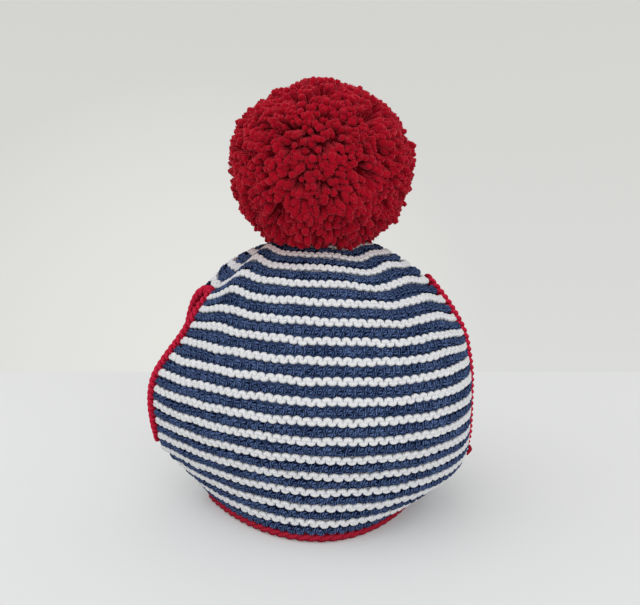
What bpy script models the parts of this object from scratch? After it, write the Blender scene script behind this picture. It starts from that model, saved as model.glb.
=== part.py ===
"""Striped knitted tea cosy with a large pompom, a spout slit and a handle slit.

The cosy is two garter-stitch panels, a front and a back, sewn together at the
sides above and below the slits and drawn up at the crown.  Red crocheted
edging runs round each slit and round the hem, and the cosy stands on its hem.

Frame: the origin is the centre of the hem on the table, +Z up, -Y towards the
front panel, -X the spout side, +X the handle side.  Sizes are in millimetres
here and are turned into metres where the meshes are made.
"""
import math

import bmesh
import bpy
import numpy as np

MM = 0.001

# ---------------------------------------------------------------- driving sizes
RIDGE = 4.55            # height of one garter ridge along the cloth
RIDGES = 38             # ridges from hem to crown, navy and white in turn
RIDGE_RELIEF = 0.9      # how far a ridge stands above the furrow beside it
CLOTH_THICK = 3.0       # cloth thickness at a ridge
SEAM_GAP = 0.5          # clear gap between the two panels along a seam
COLUMNS_OUT = 24        # facets across a panel, outer face
COLUMNS_IN = 14         # facets across a panel, inner face
INNER_EVERY = 2         # the inner face has one band for this many ridges
AT_EDGE = 0.999         # from here a panel's facet line counts as its edge

EDGE_R = 2.1            # radius of the crocheted edging round the slits
EDGE_ROUND = 2.5        # rounding of the edging at the ends of a slit
EDGE_CLEAR = 2.60       # edging centre to the edge of the panel
EDGE_STEPS = 44         # facets along the edging of a slit
EDGE_SIDES = 8          # and round it
HEM_WIDE = 4.4          # hem edging, across
HEM_TALL = 3.3          # hem edging, up
HEM_FOOT = 2.8          # flat underside the cosy stands on
HEM_INSET = 1.5         # hem edging centre inside the outer face
HEM_STEPS = 56          # facets along the hem edging
HEM_SIDE = (0.30, 0.68) # its upright sides, from and to, as shares of its height

POM_R = 49.3            # pompom radius
POM_UP = 44.0           # pompom centre to its top
POM_DOWN = 49.5         # pompom centre to where its lower side would end
POM_X = 0.4             # pompom centre towards the handle side
POM_Z = 183.0           # pompom centre height
POM_CORE = 0.74         # core radius as a share of the pompom radius
POM_HIGH_FULL = 1.75    # fullness of the upper half
POM_LOW_FULL = 2.15      # fullness of the lower half, which sits on the crown
POM_TIE_R = 3.6         # tie going down through the drawn-up crown
POM_TIE_LOW = 139.6     # lower end of the tie
POM_REST = 0.6          # clearance above the crown
POM_UNDERSIDE = -0.93   # no locks point further down than this
POM_FOOT = -0.999       # the lowest point of the core's sphere is below this
LOCK_INSET = 0.024      # locks stand this far apart on the core of radius 1
LOCK_UNEVEN = 0.06      # the shortest lock, as a share short of the longest
LOCK_LEAN = 0.03
LOCK_SHAPE = ((0.93, 1.12), (1.0, 0.62))    # along a lock: share of its reach, spread

CENTRE_SHIFT = 4.81     # moves the outline so its box is centred on the origin


# The cloth from hem to crown, measured up the middle of the front:
# up_cloth, height, depth, apex, spout_reach, handle_reach, spout_point, handle_point
SECTIONS = (
    (0.0, 3.6, 53.2, 0.0, 62.5, 52.5, 1.9, 1.8),
    (11.4, 14.6, 56.0, 4.0, 73.5, 67.8, 2.0, 1.35),
    (20.5, 23.2, 58.8, 6.5, 82.0, 78.0, 2.1, 1.3),
    (29.6, 32.0, 61.5, 8.0, 90.7, 80.3, 2.2, 1.2),
    (38.7, 40.7, 64.5, 9.0, 94.5, 80.0, 2.2, 1.05),
    (47.8, 49.7, 66.6, 10.0, 97.6, 79.8, 2.2, 0.95),
    (56.9, 58.7, 67.0, 10.0, 98.9, 79.5, 2.2, 0.9),
    (66.0, 67.7, 66.2, 10.0, 98.0, 79.5, 2.2, 0.9),
    (75.1, 76.6, 64.4, 10.0, 92.2, 79.2, 2.1, 1.0),
    (84.2, 85.4, 61.8, 10.0, 84.8, 78.0, 2.0, 1.1),
    (93.3, 94.2, 59.0, 10.0, 77.7, 77.4, 2.0, 1.2),
    (102.4, 102.8, 56.4, 9.0, 72.0, 74.6, 2.0, 1.3),
    (111.5, 111.4, 53.4, 8.0, 65.7, 69.8, 2.0, 1.45),
    (120.6, 119.8, 49.6, 7.0, 59.5, 61.5, 1.9, 1.45),
    (129.7, 127.3, 44.3, 6.0, 51.0, 51.5, 1.7, 1.3),
    (138.8, 133.5, 37.5, 5.0, 41.5, 41.0, 1.5, 1.1),
    (147.9, 138.5, 30.0, 3.0, 33.0, 31.5, 1.3, 1.0),
    (157.0, 141.5, 21.5, 1.0, 22.0, 22.0, 1.0, 1.0),
    (166.0, 143.2, 12.8, 0.0, 13.0, 13.0, 1.0, 1.0),
    (172.9, 143.8, 5.5, 0.0, 5.5, 5.5, 1.0, 1.0),
)

# Soft folds where the crown is drawn up.  across runs from -1 at the spout side
# to +1 at the handle side: across, spread, up_cloth, run, lift
FOLDS = (
    (-0.52, 0.10, 129.0, 27.0, 4.3),
    (-0.97, 0.37, 124.0, 14.0, -6.7),
    (0.30, 0.22, 125.5, 45.0, -3.4),
    (0.47, 0.13, 141.0, 29.0, 1.4),
    (0.83, 0.23, 107.0, 20.0, -5.3),
    (-0.10, 0.18, 114.0, 45.0, -0.7),
    (-0.78, 0.13, 60.0, 24.0, 2.6),
)
FOLDS_END = 168.0       # the folds have died away here, under the pompom
FOLDS_FADE = 20.0       # over this much cloth

# Slits: side, lower end and upper end of the opening in the cloth (up_cloth),
# half width of the straight-sided part before the rounding
SLITS = {
    "spout": (-1, 26.0, 127.5, 8.5),
    "handle": (1, 22.0, 128.5, 6.5),
}
SLIT_FULL = 0.9         # how full the sides of a slit are, 1 being a parabola
# The spout side of the crown, each as middle and half run up the cloth, place and
# spread across it, and amount: the back panel stands out beside the slit, bulges and
# rises above it, and the seam there sinks in
BACK_FLARE = (105.0, 23.0, -1.0, 0.30, 9.5)
BACK_BULGE = (130.0, 27.0, -0.78, 0.20, 6.0)
BACK_LIFT = (128.0, 22.0, -0.76, 0.14, 4.0)
SEAM_SINK = (134.0, 26.0, -1.0, 0.16, 4.0)
SEAM_HOLD = 14          # how close to the seam the bulge is held in

NAVY = (0.036, 0.066, 0.150)
RED = (0.400, 0.010, 0.026)


# ------------------------------------------------------------------ body shape
def smooth_column(table, column):
    """Monotone cubic through one column of a table keyed by its first column."""
    xs = np.array([row[0] for row in table])
    ys = np.array([row[column] for row in table])
    step = np.diff(xs)
    rise = np.diff(ys) / step
    slope = np.zeros(len(xs))
    slope[0] = rise[0]
    slope[-1] = rise[-1]
    for i in range(1, len(xs) - 1):
        if rise[i - 1] * rise[i] > 0.0:
            w1 = 2.0 * step[i] + step[i - 1]
            w2 = step[i] + 2.0 * step[i - 1]
            slope[i] = (w1 + w2) / (w1 / rise[i - 1] + w2 / rise[i])

    def value(x):
        x = np.clip(np.asarray(x, float), xs[0], xs[-1])
        k = np.clip(np.searchsorted(xs, x) - 1, 0, len(xs) - 2)
        h = step[k]
        t = (x - xs[k]) / h
        a = (1.0 + 2.0 * t) * (1.0 - t) ** 2 * ys[k]
        b = t * (1.0 - t) ** 2 * h * slope[k]
        c = t * t * (3.0 - 2.0 * t) * ys[k + 1]
        d = t * t * (t - 1.0) * h * slope[k + 1]
        return a + b + c + d

    return value


HEIGHT, DEPTH, APEX, REACH_S, REACH_H, POINT_S, POINT_H = [
    smooth_column(SECTIONS, column) for column in range(1, 8)
]
TOP = SECTIONS[-1][0]


def fold_lift(across, up):
    """How far the folds lift the cloth; they die away under the pompom."""
    lift = 0.0 * across * up
    for middle, spread, at, run, amount in FOLDS:
        lift = lift + amount * np.exp(-((across - middle) / spread) ** 2 - ((up - at) / run) ** 2)
    fade = np.clip((FOLDS_END - up) / FOLDS_FADE, 0.0, 1.0)
    return lift * fade * fade * (3.0 - 2.0 * fade)


def patch(across, up, place):
    """A soft change that is full at one place and dies away up and across the cloth."""
    middle, run, at, spread, amount = place
    share = np.clip(1.0 - np.abs(up - middle) / run, 0.0, 1.0)
    beside = np.exp(-((across - at) / spread) ** 2)
    return amount * share * share * (3.0 - 2.0 * share) * beside


def body_point(across, up, back=False):
    """A point on the outer face of the closed body.

    across runs from -1 at the spout side to +1 at the handle side.
    """
    across = np.asarray(across, float)
    up = np.asarray(up, float)
    apex = APEX(up)
    reach = np.where(across < 0, REACH_S(up) + apex, REACH_H(up) - apex)
    point = np.where(across < 0, POINT_S(up), POINT_H(up))
    turn = np.minimum(np.abs(across), 1.0) * math.pi / 2
    x = apex + np.sign(across) * reach * np.sin(turn)
    y = -DEPTH(up) * np.maximum(np.cos(turn), 0.0) ** point
    z = HEIGHT(up) + fold_lift(across, up)
    x = x + patch(across, up, SEAM_SINK)
    if back:
        x = x - patch(across, up, BACK_FLARE)
        x = x - patch(across, up, BACK_BULGE) * (1.0 - np.abs(across) ** SEAM_HOLD)
        z = z + patch(across, up, BACK_LIFT)
        y = -y
    x = x + CENTRE_SHIFT
    return np.stack([x, y, z], axis=-1)


def across_at(half_open, up, side):
    """How far round a panel reaches when its edge is half_open from the seam line."""
    point = POINT_S(up) if side < 0 else POINT_H(up)
    share = np.clip(half_open / DEPTH(up), 0.0, 1.0)
    return side * np.arccos(share ** (1.0 / point)) * 2.0 / math.pi


def offset_lens(slit, amount, count=240):
    """One side of a slit, from its lower to its upper end, moved out by amount."""
    side, low, high, half_wide = SLITS[slit]
    middle = (low + high) / 2.0
    half_long = (high - low) / 2.0 - EDGE_ROUND - EDGE_CLEAR
    run = np.sin(np.linspace(-math.pi / 2, math.pi / 2, count))
    wide = half_wide * (1.0 - run ** 2) ** SLIT_FULL
    up = middle + half_long * run
    d_up = np.gradient(up)
    d_wide = np.gradient(wide)
    size = np.hypot(d_up, d_wide)
    normal_up = -d_wide / size
    normal_wide = d_up / size
    first = math.atan2(normal_wide[0], normal_up[0])
    last = math.atan2(normal_wide[-1], normal_up[-1])
    lower = np.linspace(math.pi, first, 16)[:-1]
    upper = np.linspace(last, 0.0, 16)[1:]
    ups = np.concatenate([
        up[0] + amount * np.cos(lower), up + amount * normal_up,
        up[-1] + amount * np.cos(upper)])
    wides = np.concatenate([
        wide[0] + amount * np.sin(lower), wide + amount * normal_wide,
        wide[-1] + amount * np.sin(upper)])
    return ups, wides


def panel_edge(slit, up):
    """Distance of a panel's edge from the seam line at a height up the cloth."""
    ups, wides = offset_lens(slit, EDGE_ROUND + EDGE_CLEAR)
    inside = (up > ups[0]) & (up < ups[-1])
    order = np.argsort(ups)
    wide = np.interp(up, ups[order], wides[order])
    return np.where(inside, np.maximum(wide, SEAM_GAP / 2), SEAM_GAP / 2)


def panel_point(u, up, back=False):
    """A point on a panel's outer face; u runs from -1 to 1 between its two edges."""
    u = np.asarray(u, float)
    up = np.asarray(up, float)
    spout = across_at(panel_edge("spout", up), up, -1)
    handle = across_at(panel_edge("handle", up), up, 1)
    across = np.where(u < 0, -u * spout, u * handle)
    return body_point(across, up, back)


def panel_normal(u, up, back=False):
    """Outward unit normal of a panel."""
    step = 1e-3
    step_up = 0.4
    u0 = np.clip(u - step, -1, 1)
    u1 = np.clip(u + step, -1, 1)
    up0 = np.clip(up - step_up, 0, TOP)
    up1 = np.clip(up + step_up, 0, TOP)
    side = panel_point(u1, up, back) - panel_point(u0, up, back)
    rise = panel_point(u, up1, back) - panel_point(u, up0, back)
    normal = np.cross(side, rise)
    if back:
        normal = -normal
    return normal / np.linalg.norm(normal, axis=-1, keepdims=True)


# ------------------------------------------------------------------ mesh makers
def material(name, colour, roughness):
    mat = bpy.data.materials.new(name)
    mat.use_nodes = True
    shader = mat.node_tree.nodes["Principled BSDF"]
    shader.inputs["Base Color"].default_value = (*colour, 1.0)
    shader.inputs["Roughness"].default_value = roughness
    return mat


def add_object(name, points, faces, mat, collection):
    mesh = bpy.data.meshes.new(name)
    mesh.from_pydata([tuple(float(c) * MM for c in p) for p in points], [], faces)
    bm = bmesh.new()
    bm.from_mesh(mesh)
    bmesh.ops.recalc_face_normals(bm, faces=bm.faces)
    if bm.calc_volume(signed=True) < 0.0:
        bmesh.ops.reverse_faces(bm, faces=bm.faces)
    bmesh.ops.triangulate(bm, faces=[f for f in bm.faces if len(f.verts) > 4])
    bm.to_mesh(mesh)
    bm.free()
    mesh.materials.append(mat)
    obj = bpy.data.objects.new(name, mesh)
    collection.objects.link(obj)
    return obj


def zip_strip(first, second, first_at, second_at):
    """Triangles between two vertex lines that have different numbers of points."""
    faces = []
    i = 0
    j = 0
    while i < len(first) - 1 or j < len(second) - 1:
        if j == len(second) - 1:
            step_first = True
        elif i == len(first) - 1:
            step_first = False
        else:
            step_first = first_at[i + 1] <= second_at[j + 1]
        if step_first:
            faces.append((first[i], first[i + 1], second[j]))
            i += 1
        else:
            faces.append((first[i], second[j + 1], second[j]))
            j += 1
    return faces


def build_panel(name, mat, collection, back):
    """One knitted panel: ridged outer face, plain inner face, closed edges."""
    half_steps = RIDGES * 2
    ups = np.linspace(0.0, TOP, half_steps + 1)
    us = np.linspace(-1.0, 1.0, COLUMNS_OUT + 1)
    points = []
    outer = []
    for i, up in enumerate(ups):
        drop = 0.0 if i % 2 == 1 else RIDGE_RELIEF
        line = panel_point(us, np.full_like(us, up), back)
        normal = panel_normal(us, np.full_like(us, up), back)
        normal[:, 1][np.abs(us) > AT_EDGE] = 0.0
        normal /= np.linalg.norm(normal, axis=1, keepdims=True)
        line = line - drop * normal
        outer.append(list(range(len(points), len(points) + len(us))))
        points.extend(line)
    inner_ups = ups[::2 * INNER_EVERY]
    inner_us = np.linspace(-1.0, 1.0, COLUMNS_IN + 1)
    inner = []
    for up in inner_ups:
        line = panel_point(inner_us, np.full_like(inner_us, up), back)
        normal = panel_normal(inner_us, np.full_like(inner_us, up), back)
        ends = np.abs(inner_us) > AT_EDGE
        flat = np.hypot(normal[:, 0], normal[:, 2])
        normal[ends, 1] = 0.0
        normal[ends] /= (flat[ends] ** 2)[:, None]
        line = line - CLOTH_THICK * normal
        inner.append(list(range(len(points), len(points) + len(inner_us))))
        points.extend(line)
    faces = []
    for lower, upper in zip(outer[:-1], outer[1:]):
        for j in range(len(us) - 1):
            faces.append((lower[j], lower[j + 1], upper[j + 1], upper[j]))
    for lower, upper in zip(inner[:-1], inner[1:]):
        for j in range(len(inner_us) - 1):
            faces.append((lower[j], upper[j], upper[j + 1], lower[j + 1]))
    faces += zip_strip(outer[0], inner[0], us, inner_us)
    faces += zip_strip(outer[-1], inner[-1], us, inner_us)
    for end in (0, -1):
        faces += zip_strip([row[end] for row in outer], [row[end] for row in inner],
                           ups, inner_ups)
    return add_object(name, points, faces, mat, collection)


def sweep(name, path, section, frames, mat, collection):
    """A closed ring: the section's (sideways, up) points carried round a path."""
    points = []
    count = len(section)
    for centre, (side, rise) in zip(path, frames):
        for a, b in section:
            points.append(centre + a * side + b * rise)
    faces = []
    rings = len(path)
    for i in range(rings):
        k = (i + 1) % rings
        for j in range(count):
            m = (j + 1) % count
            faces.append((i * count + j, i * count + m, k * count + m, k * count + j))
    return add_object(name, points, faces, mat, collection)


def even_loop(points, count):
    """Resample a closed line to evenly spaced points."""
    closed = np.vstack([points, points[:1]])
    run = np.concatenate([[0.0], np.cumsum(np.linalg.norm(np.diff(closed, axis=0), axis=1))])
    at = np.linspace(0.0, run[-1], count, endpoint=False)
    return np.stack([np.interp(at, run, closed[:, k]) for k in range(3)], axis=1)


def soften(points, passes):
    """Round a closed line by averaging each point with its neighbours."""
    for _ in range(passes):
        points = (np.roll(points, 1, axis=0) + 2.0 * points + np.roll(points, -1, axis=0)) / 4.0
    return points


def slit_loop(slit):
    """Centre line of the edging round one slit."""
    side = SLITS[slit][0]
    ups, wides = offset_lens(slit, EDGE_ROUND)
    across = across_at(np.maximum(wides, 0.0), ups, side)
    front = body_point(across, ups, False)
    back = body_point(across, ups, True)
    return np.vstack([front, back[::-1][1:-1]])


def build_slit_edging(name, slit, mat, collection):
    path = soften(even_loop(slit_loop(slit), EDGE_STEPS), 1)
    section = []
    for k in range(EDGE_SIDES):
        angle = math.pi * 2 * k / EDGE_SIDES
        section.append((EDGE_R * math.cos(angle), EDGE_R * math.sin(angle)))
    frames = []
    outward = np.array([float(SLITS[slit][0]), 0.0, 0.0])
    for i in range(len(path)):
        tangent = path[(i + 1) % len(path)] - path[i - 1]
        tangent /= np.linalg.norm(tangent)
        side = np.cross(tangent, outward)
        side /= np.linalg.norm(side)
        frames.append((side, np.cross(side, tangent)))
    return sweep(name, path, section, frames, mat, collection)


def hem_path(count):
    """Centre line of the hem edging, in plan."""
    across = np.linspace(-1.0, 1.0, 200)
    front = body_point(across, np.zeros_like(across), False)
    back = body_point(across, np.zeros_like(across), True)
    ring = soften(even_loop(np.vstack([front, back[::-1][1:-1]]), 120), 5)
    ahead = np.roll(ring, -1, axis=0) - np.roll(ring, 1, axis=0)
    inward = np.stack([-ahead[:, 1], ahead[:, 0], 0 * ahead[:, 0]], axis=1)
    inward /= np.linalg.norm(inward, axis=1, keepdims=True)
    ring = ring + HEM_INSET * inward
    ring[:, 2] = 0.0
    return even_loop(ring, count)


def build_hem(name, mat, collection):
    path = hem_path(HEM_STEPS)
    wide = HEM_WIDE / 2
    foot = HEM_FOOT / 2
    low, high = (HEM_TALL * share for share in HEM_SIDE)
    section = (
        (foot, 0.0), (wide, low), (wide, high), (foot, HEM_TALL),
        (-foot, HEM_TALL), (-wide, high), (-wide, low), (-foot, 0.0))
    frames = []
    rise = np.array([0.0, 0.0, 1.0])
    for i in range(len(path)):
        tangent = path[(i + 1) % len(path)] - path[i - 1]
        tangent /= np.linalg.norm(tangent)
        frames.append((np.cross(tangent, rise), rise))
    return sweep(name, path, section, frames, mat, collection)


def crown_height(x, y):
    """Height of the crown's outer face at this place from its middle."""
    depths = [row[2] for row in SECTIONS[8:]][::-1]
    ups = [row[0] for row in SECTIONS[8:]][::-1]
    up = np.interp(math.hypot(x, y), depths, ups)
    across = math.atan2(x, abs(y)) * 2.0 / math.pi
    return float(HEIGHT(up) + fold_lift(across, up))


def pompom_shape(direction, share):
    """A point of the pompom in this direction, this share of the way out."""
    x, y, z = direction
    flat = math.hypot(x, y)
    full = POM_HIGH_FULL if z > 0 else POM_LOW_FULL
    tall = POM_UP if z > 0 else POM_DOWN
    size = ((flat / POM_R) ** full + (abs(z) / tall) ** full) ** (-1.0 / full)
    point = np.array([x, y, z]) * size * share
    point[0] += POM_X
    point[2] += POM_Z
    lowest = crown_height(point[0], point[1]) + POM_REST
    point[2] = max(point[2], lowest)
    return point + np.array([CENTRE_SHIFT, 0.0, 0.0])


def build_pompom(name, mat, collection):
    """A core with thick locks standing out all round, and a tie under it."""
    rng = np.random.default_rng(11)
    bm = bmesh.new()
    bmesh.ops.create_icosphere(bm, subdivisions=3, radius=1.0)
    for face in list(bm.faces):
        direction = np.array(face.calc_center_median())
        direction /= np.linalg.norm(direction)
        if direction[2] < POM_UNDERSIDE:
            continue
        bmesh.ops.inset_individual(bm, faces=[face], thickness=LOCK_INSET)
        out = (1.0 - rng.uniform(0.0, LOCK_UNEVEN)) / POM_CORE
        lean = rng.normal(0.0, LOCK_LEAN, 3)
        for along, spread in LOCK_SHAPE:
            made = bmesh.ops.extrude_discrete_faces(bm, faces=[face])["faces"][0]
            centre = np.array(made.calc_center_median())
            share = out * along
            way = direction + lean * share
            way /= np.linalg.norm(way)
            for vert in made.verts:
                offset = (np.array(vert.co) - centre) * spread
                vert.co = tuple(way * share + offset)
            face = made
    foot = [f for f in bm.faces if any(v.co.z < POM_FOOT for v in f.verts)]
    tie_height = {}
    for height in (crown_height(POM_TIE_R, 0.0) + POM_REST, POM_TIE_LOW):
        made = bmesh.ops.extrude_face_region(bm, geom=foot)["geom"]
        bmesh.ops.delete(bm, geom=foot, context="FACES")
        foot = [g for g in made if isinstance(g, bmesh.types.BMFace)]
        for vert in {v for f in foot for v in f.verts}:
            tie_height[vert] = height
    for vert in bm.verts:
        p = np.array(vert.co)
        if vert in tie_height:
            flat = math.hypot(p[0], p[1])
            ring = POM_TIE_R / flat if flat > 0.01 else 0.0
            vert.co = (p[0] * ring + CENTRE_SHIFT, p[1] * ring, tie_height[vert])
        else:
            share = np.linalg.norm(p)
            vert.co = tuple(pompom_shape(p / share, share * POM_CORE))
    bm.verts.ensure_lookup_table()
    bm.verts.index_update()
    points = [np.array(v.co) for v in bm.verts]
    faces = [tuple(v.index for v in f.verts) for f in bm.faces]
    bm.free()
    return add_object(name, points, faces, mat, collection)


# ------------------------------------------------------------------------ build
def main():
    for obj in list(bpy.data.objects):
        bpy.data.objects.remove(obj, do_unlink=True)
    cosy = bpy.data.collections.new("tea_cosy")
    bpy.context.scene.collection.children.link(cosy)
    knit = material("knitted_navy_white", NAVY, 0.9)
    trim = material("crochet_red", RED, 0.85)
    wool = material("pompom_red", RED, 0.9)
    build_panel("panel_front", knit, cosy, False)
    build_panel("panel_back", knit, cosy, True)
    build_slit_edging("edging_spout", "spout", trim, cosy)
    build_slit_edging("edging_handle", "handle", trim, cosy)
    build_hem("edging_hem", trim, cosy)
    build_pompom("pompom", wool, cosy)


main()
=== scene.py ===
"""Looks of the striped tea cosy: knitted stitches, crocheted edging, pompom yarn.

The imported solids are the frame.  Each knitted panel becomes a thin cloth with
the two-row garter ridges worked over it in yarn, one arc of yarn for each loop.
The edgings become twisted crochet yarn and the pompom becomes cut yarn ends.
Sizes are in millimetres and are turned into metres where the meshes are made.
"""
import math

import bpy
import numpy as np
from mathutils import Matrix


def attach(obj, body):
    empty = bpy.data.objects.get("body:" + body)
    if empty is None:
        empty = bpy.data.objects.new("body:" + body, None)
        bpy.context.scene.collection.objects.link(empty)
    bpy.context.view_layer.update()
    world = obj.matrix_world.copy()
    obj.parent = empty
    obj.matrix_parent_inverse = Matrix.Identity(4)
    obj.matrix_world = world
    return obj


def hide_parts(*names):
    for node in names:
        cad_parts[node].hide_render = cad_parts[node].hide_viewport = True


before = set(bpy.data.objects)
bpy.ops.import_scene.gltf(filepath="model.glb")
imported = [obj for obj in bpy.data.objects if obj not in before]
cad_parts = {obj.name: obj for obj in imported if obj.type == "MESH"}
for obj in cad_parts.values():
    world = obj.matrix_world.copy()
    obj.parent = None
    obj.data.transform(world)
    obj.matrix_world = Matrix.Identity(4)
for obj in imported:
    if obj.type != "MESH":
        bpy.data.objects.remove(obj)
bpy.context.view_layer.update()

MM = 0.001

# ------------------------------------------------------------- sizes of the cosy
RIDGE = 4.55            # height of one garter ridge along the cloth
RIDGES = 38             # ridges from hem to crown, navy and white in turn
SEAM_OPEN = 0.1         # the two panels meet this far from the seam line
SEAM_LAP = 0.9          # and the drawn cloth laps this far over it
EDGE_ROUND = 2.5        # rounding of the edging at the ends of a slit
EDGE_CLEAR = 2.6        # edging centre to the edge of the solid panel
CLOTH_TUCK = 1.4        # edging centre to the edge of the cloth drawn here
HEM_TALL = 4.5          # hem edging, up
HEM_INSET = 1.3         # hem edging centre inside the outer face
POM_R = 46.9            # pompom radius
POM_UP = 40.2           # pompom centre to its top
POM_DOWN = 51.5         # pompom centre to where its lower side would end
POM_X = 0.4             # pompom centre towards the handle side
POM_Y = -3.0            # and towards the front
POM_Z = 183.0           # pompom centre height
POM_NOD = 0.09          # it leans forwards by this share of the way down
POM_HIGH_FULL = 1.76    # fullness of the upper half
POM_LOW_FULL = 1.98     # fullness of the lower half
POM_REST = 0.3          # yarn centre above the crown it lies on
CENTRE_SHIFT = 4.81     # moves the outline so its box is centred on the origin

# The cloth from hem to crown, measured up the middle of the front:
# up_cloth, height, depth, apex, spout_reach, handle_reach, spout_point, handle_point
SECTIONS = (
    (0.0, 3.6, 53.2, 0.0, 62.5, 52.5, 1.9, 1.8),
    (11.4, 14.6, 56.0, 4.0, 73.5, 67.8, 2.0, 1.35),
    (20.5, 23.2, 58.8, 6.5, 82.0, 78.0, 2.1, 1.3),
    (29.6, 32.0, 61.5, 8.0, 90.7, 80.3, 2.2, 1.2),
    (38.7, 40.7, 64.5, 9.0, 94.5, 80.0, 2.2, 1.05),
    (47.8, 49.7, 66.6, 10.0, 97.6, 79.8, 2.2, 0.95),
    (56.9, 58.7, 67.0, 10.0, 98.9, 79.5, 2.2, 0.9),
    (66.0, 67.7, 66.2, 10.0, 98.0, 79.5, 2.2, 0.9),
    (75.1, 76.6, 64.4, 10.0, 92.2, 79.2, 2.1, 1.0),
    (84.2, 85.4, 61.8, 10.0, 84.8, 78.0, 2.0, 1.1),
    (93.3, 94.2, 59.0, 10.0, 77.7, 77.4, 2.0, 1.2),
    (102.4, 102.8, 56.4, 9.0, 72.0, 74.6, 2.0, 1.3),
    (111.5, 111.4, 53.4, 8.0, 65.7, 69.8, 2.0, 1.45),
    (120.6, 119.8, 49.6, 7.0, 59.5, 61.5, 1.9, 1.45),
    (129.7, 127.3, 44.3, 6.0, 51.0, 51.5, 1.7, 1.3),
    (138.8, 133.5, 37.5, 5.0, 41.5, 41.0, 1.5, 1.1),
    (147.9, 138.5, 30.0, 3.0, 33.0, 31.5, 1.3, 1.0),
    (157.0, 141.5, 21.5, 1.0, 22.0, 22.0, 1.0, 1.0),
    (166.0, 143.2, 12.8, 0.0, 13.0, 13.0, 1.0, 1.0),
    (172.9, 143.8, 5.5, 0.0, 5.5, 5.5, 1.0, 1.0),
)
CROWN_FROM = 8          # the crown starts at this row of the table

# Soft folds at the crown: across, spread, up_cloth, run, lift
FOLDS = (
    (-0.52, 0.10, 129.0, 27.0, 4.3),
    (-0.97, 0.37, 124.0, 14.0, -6.7),
    (0.30, 0.22, 125.5, 45.0, -3.4),
    (0.47, 0.13, 141.0, 29.0, 1.4),
    (0.83, 0.23, 107.0, 20.0, -5.3),
    (-0.10, 0.18, 114.0, 45.0, -0.7),
    (-0.78, 0.13, 60.0, 24.0, 2.6),
)
FOLDS_END = 168.0       # the folds have died away here, under the pompom
FOLDS_FADE = 20.0       # over this much cloth

# Slits: side, lower end and upper end of the opening, half width
SLITS = {
    "spout": (-1, 26.0, 125.0, 8.5),
    "handle": (1, 22.0, 128.5, 6.5),
}
SLIT_FULL = 0.9         # how full the sides of a slit are, 1 being a parabola
# The spout side of the crown, each as middle and half run up the cloth, place and
# spread across it, and amount: the back panel stands out beside the slit, bulges and
# rises above it, and the seam there sinks in
BACK_FLARE = (105.0, 23.0, -1.0, 0.30, 9.5)
BACK_BULGE = (130.0, 27.0, -0.78, 0.20, 6.0)
BACK_LIFT = (128.0, 22.0, -0.76, 0.14, 4.0)
SEAM_SINK = (134.0, 26.0, -1.0, 0.16, 4.0)
SEAM_HOLD = 14          # how close to the seam the bulge is held in

# Normals of the cloth are measured over this much across and up, and no nearer
# than this to a seam
NORMAL_ACROSS = 0.012
NORMAL_UP = 0.5
NORMAL_LIMIT = 0.985
# Points along one side of a slit, and round one of its ends
SLIT_STEPS = 240
SLIT_END_STEPS = 16

# ------------------------------------------------------------- sizes of the yarn
SEED = 7                # of all random draws
# Stitch width up the cloth: up_cloth, pitch
STITCH_PITCH = (
    (0.0, 4.95), (30.0, 4.8), (60.0, 4.65), (80.0, 4.55), (100.0, 4.45), (111.0, 4.3),
    (120.0, 4.1), (130.0, 3.8), (139.0, 3.4), (148.0, 3.0), (157.0, 2.6), (173.0, 2.2),
)
# Half of one loop's arc, for a stitch 4.7 wide: across, up, out of the cloth
LOOP = (
    (0.50, 0.99, 0.05),
    (1.10, 0.72, 0.05),
    (1.36, -0.02, -0.25),
    (1.12, -0.95, -1.35),
)
LOOP_PITCH = 4.7
LOOP_OUT = -0.50        # loop centre line from the outer face
LOOP_SLANT = 0.12       # lean of the loops, from the twist of the yarn
LOOP_TAPER = 0.86       # thickness of the yarn at both ends of a loop
NARROW_KEEPS = 0.35     # of its thickness, however narrow the loop
END_LOOP_IN = 0.35      # the outermost lower loop is moved in by this share of its width
# How much the loops vary in width, height and thickness, and out of the row and of
# the cloth, that last one as a share of their unevenness along the row
WIDTH_VARIES = 0.04
HEIGHT_VARIES = 0.05
THICKNESS_VARIES = 0.03
OUT_OF_LINE = 0.6
YARN = {                # radius of the yarn, height and depth of the loops, unevenness
    "navy": (1.20, 1.00, 1.7, 0.17),
    "white": (1.25, 0.98, 1.0, 0.12),
}
ROW_SWAY = ((0.22, 37.0), (0.16, 19.0))     # rows wander up and down: amount, length
ROW_STEPS = 200         # points along each half of a row when its length is measured
YARN_SIDES = 6
YARN_OFFSET = 13.7      # the twist of each length of yarn starts this much later
CLOTH_FACE = -1.7       # cloth under the loops, from the outer face
CLOTH_THICK = 1.4
INSIDE_RELIEF = 0.45    # height of the ridges on the inner side
CLOTH_COLUMNS = 60
CLOTH_ROWS = 4          # for each ridge
# White of the ground, from and to, in every two ridges from the hem up, and how far
# its edges wander up and down
OUTER_WHITE = (1.22, 1.78, 0.0)
INNER_WHITE = (1.0, 2.0, 0.16)

EDGE_STRAND = 1.3       # crochet edging: strand radius
EDGE_TURN = 1.4         # strand centre from the middle of the edging
EDGE_LEAD = 6.6         # one turn of a strand
EDGE_END = 9.0          # the edging thins over this much at its lower end
EDGE_END_THIN = 0.62    # to this share
EDGE_STRANDS = 2
HEM_STRAND = 1.35       # hem edging, likewise, but its turns are flattened
HEM_TURN_WIDE = 1.4
HEM_TURN_TALL = 0.85
HEM_LEAD = 15.0
HEM_STRANDS = 3
STRAND_SWELL = 0.06     # a strand is this much thicker where it turns outwards
STRAND_SIDES = 7
# Centre line of an edging, rough and then fine: points, rounding passes
SLIT_LINE = ((44, 1), (480, 12))
HEM_LINE = ((120, 5), (800, 8))
HEM_STEPS = 200         # points along each panel's lower edge

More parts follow.
